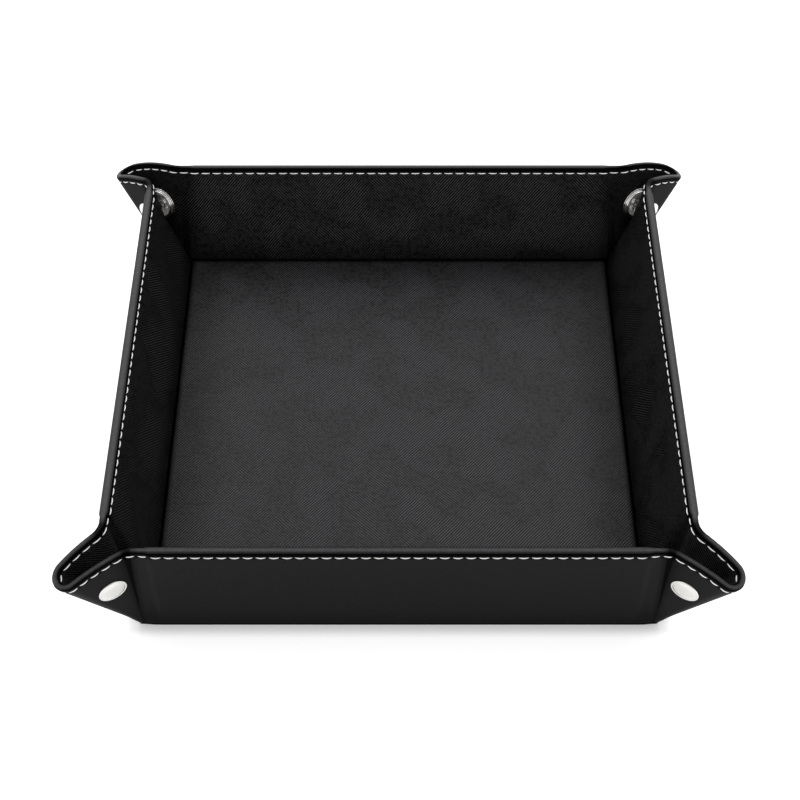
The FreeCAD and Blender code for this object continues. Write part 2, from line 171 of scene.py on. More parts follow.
# Profile of a skin from the inside, over the flat painted rim, to the outside
edge = dict(
    stitchDrop=0.0024,      # stitch line below the rim top
    grooveDepth=0.00022,
    grooveWidth=0.00050,
    rimCorner=0.0013,       # rounding on both sides of the flat rim
    cornerMost=0.75,        # and the most of the half thickness it may take
    rimFlat=0.4,            # share of the rim's stations that lie on the flat
    paintTo=dict(end=0.64, side=0.76),    # and share that carries edge paint, then leather; painted shade darkens the paint towards its sides
    paintShadeRun=0.40,
    rimPlaces=(-1.0, -0.88, -0.76, -0.64, -0.52, -0.4, -0.2, 0.0, 0.2, 0.4, 0.52, 0.64, 0.76, 0.88, 1.0),
    drops=(0.0015, 0.0017, 0.0018, 0.0020, 0.0022, 0.0024, 0.0026, 0.0028, 0.0030, 0.0032,
           0.0035, 0.0040, 0.0048, 0.0060, 0.0080),
    shade=0.70,             # painted shade on the rim's rounding and on the leather just below the rim
    shadeDrops=(0.0016, 0.0023),    # where that ends below the rim top
    coverShares=(0.08, 0.17, 0.27, 0.38, 0.49, 0.60, 0.70, 0.79, 0.86, 0.91, 0.95, 0.98, 1.0),
    liningShares=(0.07, 0.14, 0.22, 0.31, 0.39, 0.47, 0.56, 0.64, 0.71, 0.758, 0.786, 0.803, 0.814, 0.824,
                  0.833, 0.843, 0.853, 0.864, 0.878, 0.894, 0.914, 0.936, 0.958, 0.981, 1.0),
    noseShares=(0.15, 0.30, 0.42, 0.50, 0.58, 0.70, 0.85, 1.0),
    lowReach=0.0006,        # lowest point of an ear above the base corner
)


def surfaceShift(drop):
    # Groove of the stitch line
    return -edge["grooveDepth"] * math.exp(-((drop - edge["stitchDrop"]) / edge["grooveWidth"]) ** 2)


def rimPoint(half, place):
    # Across the rim, below its top, and distance along its profile from the inside
    corner = min(edge["rimCorner"], edge["cornerMost"] * half)
    quarter = corner * math.pi / 2
    level = half - corner
    flat = edge["rimFlat"]
    if abs(place) <= flat:
        across = level * place / flat
        return across, 0.0, quarter + level + across
    turn = (abs(place) - flat) / (1 - flat) * math.pi / 2
    across = math.copysign(level + corner * math.sin(turn), place)
    run = quarter + level + math.copysign(level + corner * turn, place)
    return across, corner * (1 - math.cos(turn)), run


def rimLength(half):
    return rimPoint(half, 1.0)[2]


dropStations = [("drop", drop) for drop in edge["drops"]]
rimStations = [("rim", place) for place in edge["rimPlaces"]]
faceStations = {
    1: dropStations + [("share", share) for share in edge["coverShares"]],
    -1: list(reversed(dropStations + [("share", share) for share in edge["liningShares"]])),
}


def stationHeight(kind, value, top, low):
    if kind == "drop":
        return top - value
    return mix(top - edge["drops"][-1], low, value)


def stationShade(halfName, kind, value):
    # Painted shade beside the rim, 0 to 1: over the sides of the edge paint, the rounding and the leather
    # just below
    if kind == "rim":
        reach = edge["paintTo"][halfName]
        return edge["shade"] * smooth(abs(value), reach - edge["paintShadeRun"], reach)
    if kind == "drop":
        return edge["shade"] * (1 - smooth(value, *edge["shadeDrops"]))
    return 0.0


def bothShades(first, second):
    return 1 - (1 - first) * (1 - second)


def camelCase(words):
    return words[0] + "".join(word.capitalize() for word in words[1:])


def meshFrom(bm, name):
    mesh = bpy.data.meshes.new(name)
    bm.to_mesh(mesh)
    bm.free()
    return mesh


def newPiece(name, mesh, materialNames):
    piece = bpy.data.objects.new(name, mesh)
    bpy.context.scene.collection.objects.link(piece)
    for materialName in materialNames:
        mesh.materials.append(bpy.data.materials[materialName])
    return piece


def gridMesh(name, columns, rows, place, painted=()):
    # A grid whose points are put in place one by one; place gives position, outward hint, flat position
    # and painted shade. Faces of the edge-painted rows take the second material.
    bm = bmesh.new()
    bmesh.ops.create_grid(bm, x_segments=columns, y_segments=rows, size=1.0)
    flatLayer = bm.loops.layers.uv.new("flat")
    shadeLayer = bm.verts.layers.float.new("shade")
    flat, hints, rowOf = {}, {}, {}
    for vert in bm.verts:
        column = round((vert.co.x + 1) / 2 * columns)
        row = round((vert.co.y + 1) / 2 * rows)
        rowOf[vert.index] = row
        vert.co, hints[vert.index], flat[vert.index], vert[shadeLayer] = place(column, row)
    bm.normal_update()
    if sum(vert.normal.dot(hints[vert.index]) for vert in bm.verts) < 0:
        bmesh.ops.reverse_faces(bm, faces=bm.faces)
    for face in bm.faces:
        face.smooth = True
        if min(rowOf[vert.index] for vert in face.verts) in painted:
            face.material_index = 1
        for loop in face.loops:
            loop[flatLayer].uv = flat[loop.vert.index]
    bmesh.ops.dissolve_degenerate(bm, dist=1e-7, edges=bm.edges)
    return meshFrom(bm, name)


# Materials
leather = dict(
    floor=dict(dark=(0.0030, 0.0030, 0.0034), light=(0.0800, 0.0795, 0.0860), rough=0.42, specular=0.14,
               lineDepth=0.00012, patchScale=42.0, lines=(0.40, 0.95)),
    lining=dict(dark=(0.0030, 0.0030, 0.0033), light=(0.0880, 0.0874, 0.0935), rough=0.50, specular=0.09,
                lineDepth=0.00010, patchScale=42.0, lines=(0.42, 0.98)),
    cover=dict(dark=(0.0018, 0.0018, 0.0020), light=(0.0078, 0.0078, 0.0083), rough=0.52, specular=0.045,
               lineDepth=0.00003, patchScale=30.0, lines=(0.2, 1.0)),
    hatchPitch=0.00086,     # spacing of the pressed lines
    wavePitch=0.31416,      # spacing of a wave texture's bands at scale 1
    mainLines=(math.radians(50), 2.6),      # angle and waviness of the main set
    crossLines=(math.radians(-46), 2.4),    # and of the crossing set
    lineDetail=dict(Detail=2.0, Detail_Scale=0.35),
    patchRange=(0.36, 0.56),    # noise over which the main set takes over from the crossing one
    mainLeast=0.55,
    crossMost=0.90,
    shareSpan=0.45,
    poreScale=1900.0,
    poreHeight=0.30,
    dashScale=620.0,
    dashRange=(0.36, 0.56),
    dashDepth=0.18,         # how far the lines are broken up
    mottle=(0.7, 0.5),      # slope and level of the pores' effect on the crests
    roughSpread=0.16,
)
edgeLook = dict(dark=(0.026, 0.026, 0.028), light=(0.042, 0.042, 0.045), specular=0.3, rough=0.5,
                layerScale=700.0, mottle=(0.3, 0.7), bump=(0.6, 0.00006))
# The thread's glow is painted light, which keeps the stitches white
threadLook = dict(dark=(0.88, 0.87, 0.85), light=(0.98, 0.97, 0.95), glow=0.30, rough=0.55, sheen=0.15,
                  twistScale=5.0, fuzzScale=900.0, bump=(0.6, 0.00006))
nickel = dict(
    snapNickel=dict(dark=(0.64, 0.63, 0.61), light=(0.72, 0.71, 0.69), rough=0.16),
    # the socket's nickel is lighter than the caps': a painted highlight for the bright reflections on its
    # rings
    socketNickel=dict(dark=(0.95, 0.94, 0.93), light=(0.98, 0.97, 0.96), rough=0.14),
)
nickelGrain = dict(cloudScale=420.0, scratchScale=2600.0, roughSpread=0.10, bump=(0.03, 0.00001))
fibres = dict(
    pressedBoard=dict(dark=(0.22, 0.17, 0.12), light=(0.34, 0.28, 0.20), scale=600.0, bump=(0.4, 0.0001)),
    greyFelt=dict(dark=(0.17, 0.17, 0.18), light=(0.30, 0.30, 0.31), scale=900.0, bump=(0.4, 0.0002)),
)
fibreRough = 0.88


def newGroup(name, inputs, outputs):
    group = bpy.data.node_groups.new(name, "ShaderNodeTree")
    for direction, sockets in (("INPUT", inputs), ("OUTPUT", outputs)):
        for label, kind in sockets.items():
            group.interface.new_socket(label, in_out=direction, socket_type="NodeSocket" + kind)
    return group, group.nodes.new("NodeGroupInput"), group.nodes.new("NodeGroupOutput")


def setInputs(node, **values):
    for key, value in values.items():
        node.inputs[key.replace("_", " ")].default_value = value


def addNode(tree, kind, settings=None, **values):
    node = tree.nodes.new(kind)
    for key, value in (settings or {}).items():
        setattr(node, key, value)
    setInputs(node, **values)
    return node


def addMath(tree, operation, *values):
    node = tree.nodes.new("ShaderNodeMath")
    node.operation = operation
    for socket, value in zip(node.inputs, values):
        if isinstance(value, (int, float)):
            socket.default_value = value
        else:
            tree.links.new(value, socket)
    return node.outputs[0]


def addNoise(tree, vector, scale, detail, roughness=0.5):
    node = addNode(tree, "ShaderNodeTexNoise", None, Scale=scale, Detail=detail, Roughness=roughness)
    tree.links.new(vector, node.inputs["Vector"])
    return node.outputs["Fac"]


def flatPlace(tree):
    return addNode(tree, "ShaderNodeUVMap", dict(uv_map="flat")).outputs["UV"]


def objectPlace(tree):
    return addNode(tree, "ShaderNodeTexCoord").outputs["Object"]


def spreadRange(tree, value, low, high):
    # 0 at low, 1 at high, held outside
    node = addNode(tree, "ShaderNodeMapRange", dict(interpolation_type="SMOOTHSTEP"),
                   From_Min=low, From_Max=high)
    tree.links.new(value, node.inputs["Value"])
    return node.outputs[0]


def bandLines(tree, vector, scale, angle, waviness):
    # Wavy parallel lines at an angle, 0 to 1
    turned = addNode(tree, "ShaderNodeMapping", None, Rotation=(0, 0, -angle))
    tree.links.new(vector, turned.inputs["Vector"])
    lines = addNode(tree, "ShaderNodeTexWave", dict(bands_direction="Y"), Distortion=waviness,
                    **leather["lineDetail"])
    tree.links.new(turned.outputs[0], lines.inputs["Vector"])
    tree.links.new(scale, lines.inputs["Scale"])
    return lines.outputs["Fac"]


def pressedHatch():
    # Pressed cross-hatch leather: diagonal lines, patches where a crossing set takes over, fine pores
    group, given, result = newGroup(
        "pressedHatch",
        {"Vector": "Vector", "Line Scale": "Float", "Patch Scale": "Float"},
        {"Height": "Float", "Lines": "Float", "Pore": "Float"},
    )
    vector = given.outputs["Vector"]
    main = bandLines(group, vector, given.outputs["Line Scale"], *leather["mainLines"])
    cross = bandLines(group, vector, given.outputs["Line Scale"], *leather["crossLines"])
    patch = addNoise(group, vector, 1.0, 2.0)
    group.links.new(given.outputs["Patch Scale"], patch.node.inputs["Scale"])
    pore = addNoise(group, vector, leather["poreScale"], 2.0, 0.6)
    dashes = addNoise(group, vector, leather["dashScale"], 2.0)
    share = spreadRange(group, patch, *leather["patchRange"])
    mainShare = addMath(group, "MULTIPLY_ADD", share, leather["shareSpan"], leather["mainLeast"])
    crossShare = addMath(group, "MULTIPLY_ADD", share, -leather["shareSpan"], leather["crossMost"])
    mainHeight = addMath(group, "MULTIPLY", main, mainShare)
    crossHeight = addMath(group, "MULTIPLY", cross, crossShare)
    dash = spreadRange(group, dashes, *leather["dashRange"])
    broken = addMath(group, "MULTIPLY_ADD", dash, leather["dashDepth"], 1 - leather["dashDepth"])
    lines = addMath(group, "MULTIPLY", addMath(group, "MAXIMUM", mainHeight, crossHeight), broken)
    height = addMath(group, "MULTIPLY_ADD", pore, leather["poreHeight"], lines)
    group.links.new(height, result.inputs["Height"])
    group.links.new(lines, result.inputs["Lines"])
    group.links.new(pore, result.inputs["Pore"])
    return group


def newMaterial(name):
    material = bpy.data.materials.new(name)
    material.use_nodes = True
    return material.node_tree, material.node_tree.nodes["Principled BSDF"]


def blendColor(tree, share, look):
    node = addNode(tree, "ShaderNodeMix", dict(data_type="RGBA"),
                   A=(*look["dark"], 1), B=(*look["light"], 1))
    tree.links.new(share, node.inputs["Factor"])
    return node.outputs["Result"]


def addBump(tree, shader, height, strength, distance):
    bump = addNode(tree, "ShaderNodeBump", None, Strength=strength, Distance=distance)
    tree.links.new(height, bump.inputs["Height"])
    tree.links.new(bump.outputs[0], shader.inputs["Normal"])


def dimByShade(tree, shader, color, specular):
    # Darkens a colour and its gloss by the painted shade stored on the mesh
    dim = addNode(tree, "ShaderNodeAttribute", dict(attribute_name="shade"))
    lit = addMath(tree, "SUBTRACT", 1.0, dim.outputs["Fac"])
    dimmed = addNode(tree, "ShaderNodeVectorMath", dict(operation="SCALE"))
    tree.links.new(color, dimmed.inputs[0])
    tree.links.new(lit, dimmed.inputs["Scale"])
    tree.links.new(dimmed.outputs[0], shader.inputs["Base Color"])
    tree.links.new(addMath(tree, "MULTIPLY", lit, specular), shader.inputs["Specular IOR Level"])


def leatherMaterial(name, group, look):
    tree, shader = newMaterial(name)
    grain = addNode(tree, "ShaderNodeGroup", dict(node_tree=group), Patch_Scale=look["patchScale"],
                    Line_Scale=leather["wavePitch"] / leather["hatchPitch"])
    tree.links.new(flatPlace(tree), grain.inputs["Vector"])
    crest = spreadRange(tree, grain.outputs["Lines"], *look["lines"])
    mottle = addMath(tree, "MULTIPLY_ADD", grain.outputs["Pore"], *leather["mottle"])
    raised = addMath(tree, "MULTIPLY", crest, mottle)
    dimByShade(tree, shader, blendColor(tree, raised, look), look["specular"])
    spread = leather["roughSpread"]
    roughness = addMath(tree, "MULTIPLY_ADD", grain.outputs["Pore"], spread, look["rough"] - spread / 2)
    tree.links.new(roughness, shader.inputs["Roughness"])
    addBump(tree, shader, grain.outputs["Height"], 1.0, look["lineDepth"])


def edgeMaterial():
    # Painted raw edge along the top of the rim
    tree, shader = newMaterial("edgePaint")
    layers = addNoise(tree, flatPlace(tree), edgeLook["layerScale"], 4.0, 0.65)
    mottle = spreadRange(tree, layers, *edgeLook["mottle"])
    dimByShade(tree, shader, blendColor(tree, mottle, edgeLook), edgeLook["specular"])
    addBump(tree, shader, layers, *edgeLook["bump"])
    setInputs(shader, Roughness=edgeLook["rough"])


def threadMaterial():
    tree, shader = newMaterial("waxedThread")
    twist = addNode(tree, "ShaderNodeTexWave", dict(bands_direction="DIAGONAL"), Distortion=1.0,
                    Scale=threadLook["twistScale"])
    tree.links.new(flatPlace(tree), twist.inputs["Vector"])
    fuzz = addNoise(tree, objectPlace(tree), threadLook["fuzzScale"], 3.0)
    white = blendColor(tree, addMath(tree, "MULTIPLY", twist.outputs["Fac"], fuzz), threadLook)
    tree.links.new(white, shader.inputs["Base Color"])
    # Painted light: the thread glows in its own colour
    tree.links.new(white, shader.inputs["Emission Color"])
    addBump(tree, shader, twist.outputs["Fac"], *threadLook["bump"])
    setInputs(shader, Emission_Strength=threadLook["glow"], Roughness=threadLook["rough"],
              Sheen_Weight=threadLook["sheen"])


def nickelMaterial(name, look):
    tree, shader = newMaterial(name)
    place = objectPlace(tree)
    cloud = addNoise(tree, place, nickelGrain["cloudScale"], 4.0, 0.6)
    scratch = addNoise(tree, place, nickelGrain["scratchScale"], 2.0)
    tree.links.new(blendColor(tree, cloud, look), shader.inputs["Base Color"])
    roughness = addMath(tree, "MULTIPLY_ADD", cloud, nickelGrain["roughSpread"], look["rough"])
    tree.links.new(roughness, shader.inputs["Roughness"])
    addBump(tree, shader, scratch, *nickelGrain["bump"])
    setInputs(shader, Metallic=1.0)


def fibreMaterial(name, look):
    # Pressed board and felt, hidden inside the leather
    tree, shader = newMaterial(name)
    fibre = addNoise(tree, objectPlace(tree), look["scale"], 5.0, 0.7)
    tree.links.new(blendColor(tree, fibre, look), shader.inputs["Base Color"])
    addBump(tree, shader, fibre, *look["bump"])
    setInputs(shader, Roughness=fibreRough)


hatch = pressedHatch()
for layerName in ("floor", "lining", "cover"):
    leatherMaterial(layerName + "Leather", hatch, leather[layerName])
edgeMaterial()
threadMaterial()
for materialName, look in nickel.items():
    nickelMaterial(materialName, look)
for materialName, look in fibres.items():
    fibreMaterial(materialName, look)
hiddenFinish = {"board": "pressedBoard", "pad": "greyFelt", "stud": "socketNickel"}
for nodeName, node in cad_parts.items():
    finish = hiddenFinish.get(nodeName.split("_")[-1])
    if finish:
        node.data.materials.clear()
        node.data.materials.append(bpy.data.materials[finish])
print("materials ready:", len(bpy.data.materials))


# Base: the padded floor of the tray and the flat underside
base = dict(
    rings=60,
    edgeRings=7,
    sideRings=3,
    floorOut=0.0830,        # half width of the padded floor
    floorUp=0.0128,
    liningUp=0.0035,        # lining beside the padding
    edgeRadius=0.0008,
    # painted shade on the floor towards its edges, beside the walls: depth and the half widths it comes in
    # over
    edgeShade=((0.30, 0.060, 0.082), (0.75, 0.0808, 0.0830)),
    crown=0.0004,
    crownFade=0.25,         # share of the crown over which the waves rise
    sag=0.00012,            # height of the waves in the leather
    waveScale=28,
    floorSeed=0.3,
    underSeed=0.7,
    sideSink=0.0002,        # side of the padding carried below the lining
    underOut=0.080,         # where the underside hands over to the walls
    underColumns=40,
    underFade=0.012,
)


def floorRing(ring):
    # Half width, height and distance in the flat leather of one square ring of the padded floor
    flatHalf, radius = base["floorOut"] - base["edgeRadius"], base["edgeRadius"]
    if ring <= base["rings"]:
        half = flatHalf * ring / base["rings"]
        return half, base["floorUp"], half
    turn = min(1.0, (ring - base["rings"]) / base["edgeRings"]) * math.pi / 2
    up = base["floorUp"] - radius * (1 - math.cos(turn))
    side = max(0, ring - base["rings"] - base["edgeRings"]) / base["sideRings"]
    low = base["liningUp"] - base["sideSink"]
    reach = flatHalf + radius * turn + side * (up - low)
    return flatHalf + radius * math.sin(turn), mix(up, low, side), reach


def leatherWave(x, y, seed):
    return noise.noise(Vector((x, y, seed)) * base["waveScale"])


def floorSkin():
    count = base["rings"] + base["edgeRings"] + base["sideRings"]

    def place(column, row):
        across, along = column - count, row - count
        ring = max(abs(across), abs(along))
        half, up, reach = floorRing(ring)
        u, v = across / max(1, ring), along / max(1, ring)
        x, y = half * u, half * v
        swell = (1 - (x / base["floorOut"]) ** 2) * (1 - (y / base["floorOut"]) ** 2)
        wave = leatherWave(x, y, base["floorSeed"]) * base["sag"] * smooth(swell, 0.0, base["crownFade"])
        hint = Vector((0, 0, 1)) if ring <= base["rings"] else Vector((x, y, 0))
        # Painted shade towards the edges of the floor
        shade = 0.0
        for depth, inner, outer in base["edgeShade"]:
            shade = bothShades(shade, depth * smooth(half, inner, outer))
        return Vector((x, y, up + base["crown"] * swell + wave)), hint, (reach * u, reach * v), shade

    mesh = gridMesh("floorSkin", 2 * count, 2 * count, place)
    piece = newPiece("floorSkin", mesh, ["floorLeather"])
    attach(piece, "base")
    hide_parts("base_lining")


def underSkin():
    span, columns = base["underOut"], base["underColumns"]

    def place(column, row):
        x, y = mix(-span, span, column / columns), mix(-span, span, row / columns)
        wave = max(0.0, leatherWave(x, y, base["underSeed"])) * base["sag"]
        lift = wave * smooth(span - max(abs(x), abs(y)), 0.0, base["underFade"])
        return Vector((x, y, lift)), Vector((0, 0, -1)), (x, y), 0.0

    mesh = gridMesh("undersideSkin", columns, columns, place)
    piece = newPiece("undersideSkin", mesh, ["coverLeather"])
    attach(piece, "base")
    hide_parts("base_cover")


floorSkin()
underSkin()
print("base skins made")

# Walls: the lining runs from beside the floor over the padding to the rim,
# the cover from the rim to under the base
wall = dict(
    columns=150,
    crowding=0.4,           # columns drawn towards the ends
    liningIn=0.0825,        # inner end of the lining, behind the side of the padded floor
    foldIn=0.0040,          # fold of the lining, in from the hinge line
    filletUp=0.0045,        # top of the fillet beside the fold
    cornerDip=0.0014,       # lining drawn down at the very corner
    dipIn=0.082,            # where that begins
    cornerShare=0.95,
    floorShares=(0, 0.5, 1.0),
    filletShares=(0.15, 0.3, 0.45, 0.6, 0.75, 0.9),
    footShares=(0.12, 0.24, 0.34, 0.42, 0.50, 0.58, 0.66, 0.78, 0.90, 1.0),
    footPower=7.0,          # squareness of the fold under a wall
    lowShade=0.55,          # painted shade on the lining towards the floor
    lowFade=(0.0098, 0.0220),
    endFade=0.012,          # and towards a corner
    foldShade=0.95,         # painted shade on the lining down in the fold
    footShade=0.5,          # painted shade on the cover round the foot and under the base
    creaseFade=0.0022,      # painted shade of the crease beside an ear, on the wall
    sideShade=0.55,         # painted shade on the lining of the side walls, which get less light than the ends
    coverShade=0.22,        # painted shade on the cover, deeper towards the table
    underShares=(0.15, 0.4, 0.7, 1.0),
    padFull=0.0051,         # felt under the lining, full just above the floor's edge
    padLow=0.0045,
    padPeak=0.0102,
    padHigh=0.0440,
    padRound=0.14,
    padFade=(0.0004, 0.0045),
    underRun=0.008,         # flat leather of the cover under the base
    liningBlend=((0.0850, 0.0036), (0.0850, 0.0062)),    # out and up, from base to wall
    coverBlend=((0.0845, 0.0030), (0.0886, 0.0055)),
)
ear = dict(
    bendWidth=0.003,
    rollBendWidth=0.003,
    liningShade=0.45,       # painted shade on the lining inside a pinched corner
    creaseShade=0.85,       # painted shade on the cover in the crease beside a wall
    creaseFade=(0.25, 0.80),
)
walls = {
    "front": ("end", Vector((0, -1, 0)), Vector((1, 0, 0))),
    "back": ("end", Vector((0, 1, 0)), Vector((1, 0, 0))),
    "left": ("side", Vector((-1, 0, 0)), Vector((0, 1, 0))),
    "right": ("side", Vector((1, 0, 0)), Vector((0, 1, 0))),
}
wallRows = {
    -1: ([("floor", share) for share in wall["floorShares"]]
         + [("fillet", share) for share in wall["filletShares"]]
         + faceStations[-1]
         + [rimStations[0]]),
    1: (rimStations
        + faceStations[1]
        + [("foot", share) for share in wall["footShares"]]
        + [("under", share) for share in wall["underShares"]]),
}
paintedRows = {
    halfName: [index for index, (kind, value) in enumerate(rimStations[:-1]) if -reach <= value < reach]
    for halfName, reach in edge["paintTo"].items()
}


def leatherPiece(name, columns, rows, place, side, halfName):
    if side < 0:
        mesh = gridMesh(name, columns, rows, place)
        return newPiece(name, mesh, ["liningLeather"])
    mesh = gridMesh(name, columns, rows, place, paintedRows[halfName])
    return newPiece(name, mesh, ["coverLeather", "edgePaint"])


def padSwell(fromEnd, height):
    rising = (height - wall["padLow"]) / (wall["padPeak"] - wall["padLow"])
    falling = (wall["padHigh"] - height) / (wall["padHigh"] - wall["padPeak"])
    overlap = max(0.0, wall["padRound"] - abs(rising - falling)) / wall["padRound"]
    share = min(rising, falling) - overlap ** 2 * wall["padRound"] / 4
    return wall["padFull"] * max(0.0, share) * smooth(fromEnd, *wall["padFade"])


def creaseShade(column):
    # Painted shade on the cover across the bend, by the number of its ray
    place = abs(column / pinch["bendSteps"] - 0.5)
    return ear["creaseShade"] * (1 - smooth(place, *ear["creaseFade"]))


def footReach(footHalf, turn):
    # Distance from the hinge line to the outside of the fold, for a turn of 0 to 1 from wall to underside
    angle = turn * math.pi / 2
    power = wall["footPower"]
    return footHalf / (math.cos(angle) ** power + math.sin(angle) ** power) ** (1 / power)


def wallShade(halfName, f, side, kind, value):
    # Painted shade on a wall's leather, 0 to 1: beside the rim, low down, in the fold, round the foot, at
    # the crease, near the corners and on the side walls
    fromEnd = sheet["hingeOut"] * (1 - abs(f))
    shade = stationShade(halfName, kind, value)
    if side > 0:
        if kind == "share":
            shade = wall["coverShade"] * value
        elif kind in ("foot", "under"):
            shade = wall["footShade"]
        return bothShades(shade, creaseShade(0) * (1 - smooth(fromEnd, 0.0, wall["creaseFade"])))
    if kind in ("floor", "fillet"):
        return wall["foldShade"]
    if kind == "share":
        height = stationHeight(kind, value, sheet["slant"], wall["filletUp"])
        shade = wall["lowShade"] * (1 - smooth(height, *wall["lowFade"]))
    if halfName == "side":
        shade = bothShades(shade, wall["sideShade"])
    return bothShades(shade, ear["liningShade"] * (1 - smooth(fromEnd, 0.0, wall["endFade"])))


def wallFace(half, f, side, kind, value):
    # A point on the upright part of a wall: along, out, up and distance from the fold in the flat leather
    nearEnd = smooth(abs(f), wall["cornerShare"], 1.0)
    endLow = edge["lowReach"] * math.cos(half.opening)
    low = mix(wall["filletUp"], endLow, nearEnd) if side < 0 else endLow * nearEnd
    top = sheet["slant"]
    tangent = math.tan(half.opening)
    fromEnd = sheet["hingeOut"] * (1 - abs(f))
    rimHalf = halfThickness(fromEnd + abs(f) * top * tangent, top, side)
    if kind == "rim":
        offset, fall, run = rimPoint(rimHalf, value)
        height = top - fall
        reach = top - edge["rimCorner"] + run
    else:
        height = stationHeight(kind, value, top, low)
        offset = halfThickness(fromEnd + abs(f) * height * tangent, height, side)
        offset += surfaceShift(top - height)
        if side < 0:
            offset = -offset - padSwell(fromEnd, height)
            reach = height
        else:
            reach = 2 * (top - edge["rimCorner"]) + rimLength(rimHalf) - height
    along = f * (sheet["hingeOut"] - height * tangent)
    out = sheet["hingeOut"] + height * sinLean + offset * cosLean
    up = sheet["hingeUp"] + height * cosLean - offset * sinLean
    return along, out, up, sheet["hingeOut"] + reach


def liningLevel(f, out):
    nearEnd = smooth(abs(f), wall["cornerShare"], 1.0)
    return base["liningUp"] - wall["cornerDip"] * smooth(out, wall["dipIn"], sheet["hingeOut"]) * nearEnd


def wallSpot(half, f, side, kind, value):
    foldOut = sheet["hingeOut"] - wall["foldIn"]
    if kind == "floor":
        out = mix(wall["liningIn"], foldOut, value)
        return f * out, out, liningLevel(f, out), out
    if kind == "fillet":
        along, out, up, reach = wallFace(half, f, side, "share", 1.0)
        cornerUp = liningLevel(f, out)
        cornerOut = out - (up - cornerUp) * math.tan(sheet["lean"])
        first, second, third = (1 - value) ** 2, 2 * value * (1 - value), value ** 2
        curveOut = first * foldOut + second * cornerOut + third * out
        curveUp = first * liningLevel(f, foldOut) + second * cornerUp + third * up
        return mix(f * foldOut, along, value), curveOut, curveUp, mix(foldOut, reach, value)
    if kind in ("foot", "under"):
        along, out, up, reach = wallFace(half, f, side, "share", 1.0)
        footHalf = halfThickness(sheet["hingeOut"] * (1 - abs(f)), 0.0, side)
        if kind == "foot":
            centerOut = mix(out - footHalf * cosLean, sheet["hingeOut"], value)
            centerUp = mix(up + footHalf * sinLean, sheet["hingeUp"], value)
            turn = mix(-sheet["lean"], -math.pi / 2, value)
            radius = footReach(footHalf, value)
            out = centerOut + radius * math.cos(turn)
            return along, out, centerUp + radius * math.sin(turn), reach + footHalf * value
        under = (sheet["hingeUp"] - footHalf) * (1 - value) ** 2
        out = mix(sheet["hingeOut"], base["underOut"], value)
        return f * out, out, under, reach + footHalf + value * wall["underRun"]
    return wallFace(half, f, side, kind, value)


def wallSkin(wallName, layer, side):
    halfName, outward, alongWall = walls[wallName]
    half, rows = halves[halfName], wallRows[side]

    def place(column, row):
        t = 2 * column / wall["columns"] - 1
        f = (1 + wall["crowding"]) * t - wall["crowding"] * t ** 3
        along, out, up, reach = wallSpot(half, f, side, *rows[row])
        position = outward * out + alongWall * along + Vector((0, 0, up))
        hint = (outward * cosLean - Vector((0, 0, sinLean))) * side
        flat = outward * reach + alongWall * along
        return position, hint, (flat.x, flat.y), wallShade(halfName, f, side, *rows[row])

    name = camelCase([wallName, "wall", layer])
    piece = leatherPiece(name, wall["columns"], len(rows) - 1, place, side, halfName)
    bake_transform(piece)
    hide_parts("%s_wall_%s" % (wallName, layer))


for wallName in walls:
    wallSkin(wallName, "lining", -1)
    wallSkin(wallName, "cover", 1)
print("wall skins made:", len(walls))

# Corners: ear and roll skins on rays from the base corner
wallWord = {"end": 0, "side": 1}    # which word of a corner's name is the wall of its ear half
rayRows = {
    -1: faceStations[-1] + [rimStations[0]],
    1: rimStations + faceStations[1] + [("nose", share) for share in edge["noseShares"]],
}


def raySpot(half, ray, side, kind, value):
    direction, normal, angle = ray
    top = half.rimReach(angle)
    t = min(1.0, (angle + half.opening) / (half.rollAngle + half.opening))
    stretch = mix(1 / math.cos(half.opening), 1.0, t)
    sine, cosine = math.sin(half.opening), math.cos(half.opening)
    rimHalf = halfThickness(top * sine, top * cosine, side)
    if kind == "rim":
        offset, fall, run = rimPoint(rimHalf, value)
        reach = top - fall * stretch
        flat = top - edge["rimCorner"] + run
    elif kind == "nose":
        # Closes the cover below the base corner
        normal = normal.lerp(Vector((0, 0, -1)), value).normalized()
        reach = edge["lowReach"] * (1 - value)
        offset = footReach(halfThickness(0.0, 0.0, side), value)
        flat = 2 * top + rimLength(rimHalf)
    else:
        lastDrop = edge["drops"][-1] * stretch
        drop = value * stretch if kind == "drop" else mix(lastDrop, top - edge["lowReach"], value)
        reach = top - drop
        offset = side * (halfThickness(reach * sine, reach * cosine, side) + surfaceShift(drop / stretch))
        flat = reach if side < 0 else 2 * (top - edge["rimCorner"]) + rimLength(rimHalf) - reach
    return apex + direction * reach + normal * offset, (flat * math.sin(angle), flat * math.cos(angle))


def mirrored(point, signs):
    return Vector((point.x * signs[0], point.y * signs[1], point.z))


def raySkin(corner, halfName, part, side, rays):
    half, signs, rows = halves[halfName], corners[corner], rayRows[side]
    outward, across = Vector((0, -1, 0)), Vector((-1, 0, 0))
    if halfName == "side":
        outward, across = across, outward

    def place(column, row):
        position, flat = raySpot(half, rays[column], side, *rows[row])
        spread = outward * (sheet["hingeOut"] + flat[1]) + across * (sheet["hingeOut"] + flat[0])
        spread = mirrored(spread, signs)
        # Painted shade: beside the rim, on the lining inside the corner, and on the cover across the bend
        shade = stationShade(halfName, *rows[row])
        if side < 0:
            shade = bothShades(shade, ear["liningShade"])
        elif part == "ear":
            shade = bothShades(shade, creaseShade(column))
        hint = mirrored(rays[column][1] * side, signs)
        return mirrored(position, signs), hint, (spread.x, spread.y), shade

    name = camelCase(corner.split("_") + [halfName, part, "lining" if side < 0 else "cover"])
    piece = leatherPiece(name, len(rays) - 1, len(rows) - 1, place, side, halfName)
    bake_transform(piece)
    return piece


